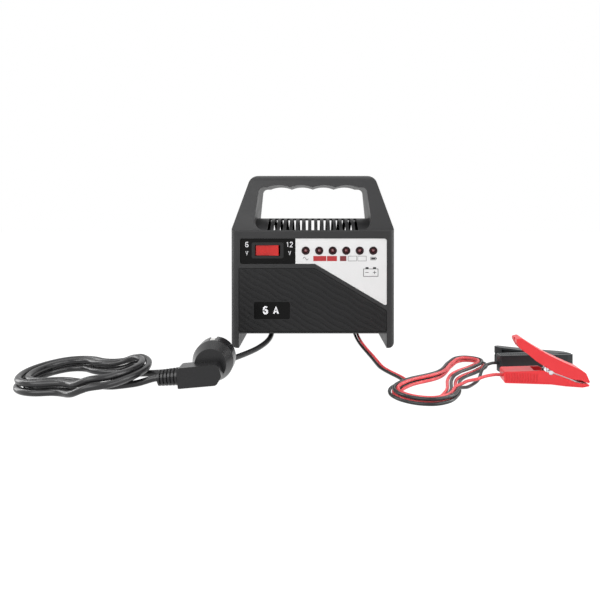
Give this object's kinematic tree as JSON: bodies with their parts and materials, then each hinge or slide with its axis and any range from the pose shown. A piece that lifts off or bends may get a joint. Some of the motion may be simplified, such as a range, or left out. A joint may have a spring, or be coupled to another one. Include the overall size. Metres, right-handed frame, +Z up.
{
  "type": "battery charger",
  "caption": "Portable car battery charger with carrying handle, rocker switch, row of charge lamps, mains plug on a cord and spring clips on twin leads.",
  "frame": {"origin": "centre of the case's footprint, on the floor that its feet stand on", "axes": "+X to the right seen from the front, +Y to the back, +Z up; the case is measured without its cords"},
  "size_m": [0.509, 0.2734, 0.196],
  "materials": {
    "case": "fine-grained moulded plastic",
    "panel": "moulded plastic with wavy ribs",
    "switch_black": "smooth",
    "rating": "smooth",
    "label": "satin film",
    "collar": "smooth",
    "lamp": "tinted lens",
    "board": "circuit board",
    "rocker_red": "smooth",
    "tab": "plated",
    "base_black": "moulded",
    "lamination": "stacked sheets",
    "bobbin_white": "moulded",
    "copper": "enamelled wire under tape",
    "steel": "zinc plated",
    "sink": "extruded",
    "part_black": "moulded",
    "mains_cord": "satin",
    "plug_black": "moulded on the cord",
    "pin_metal": "nickel plated",
    "red_wire": "satin",
    "black_wire": "satin",
    "clip_red": "moulded cover",
    "clip_black": "moulded cover",
    "clip_steel": "zinc plated"
  },
  "bodies": {
    "charger": {"front_cover": "case", "rear_cover": "case", "base_plate": "base_black", "front_panel": "panel", "switch_plate": "switch_black", "display_label": "label", "rating_plate": "rating", "lamp_collars": "collar", "lamps": "lamp", "lamp_board": "board", "rocker_frame": "switch_black", "switch_tabs": "tab", "transformer_core": "lamination", "bobbin": "bobbin_white", "primary_winding": "copper", "secondary_winding": "copper", "core_clamp": "steel", "heat_sink": "sink", "rectifier": "part_black", "thermal_cutout": "part_black", "case_screws": "steel", "base_screws": "steel", "inner_screws": "steel", "mains_sleeve": "base_black", "mains_lead": "mains_cord", "mains_hank": "mains_cord", "mains_tail": "mains_cord", "plug_boot": "plug_black", "plug_body": "plug_black", "plug_pins": "pin_metal", "plug_earth_strips": "pin_metal", "lead_sleeve": "base_black", "red_lead": "red_wire", "black_lead": "black_wire", "red_hank": "red_wire", "black_hank": "black_wire", "red_tail": "red_wire", "black_tail": "black_wire", "red_clip_base": "clip_red", "red_clip_base_jaw": "clip_steel", "red_clip_pin": "clip_steel", "red_clip_spring": "clip_steel", "black_clip_base": "clip_black", "black_clip_base_jaw": "clip_steel", "black_clip_pin": "clip_steel", "black_clip_spring": "clip_steel"},
    "rocker": {"rocker": "rocker_red"},
    "red_lever": {"red_clip_lever": "clip_red", "red_clip_lever_jaw": "clip_steel"},
    "black_lever": {"black_clip_lever": "clip_black", "black_clip_lever_jaw": "clip_steel"}
  },
  "joints": [
    {"name": "rocker_hinge", "type": "hinge", "parent": "charger", "child": "rocker", "pos_m": [-0.0511, -0.0376, 0.11], "axis": [0, 0, 1], "range_deg": [0, 14]},
    {"name": "red_clip_hinge", "type": "hinge", "parent": "charger", "child": "red_lever", "pos_m": [0.20935, -0.1733, 0.01195], "axis": [-0.1045, -0.9945, 0], "range_deg": [0, 28], "stiffness_Nm_per_rad": 0.35, "springref_deg": -57.3},
    {"name": "black_clip_hinge", "type": "hinge", "parent": "charger", "child": "black_lever", "pos_m": [0.21746, -0.12663, 0.0083], "axis": [0, 0, 1], "range_deg": [0, 28], "stiffness_Nm_per_rad": 0.35, "springref_deg": -57.3}
  ]
}
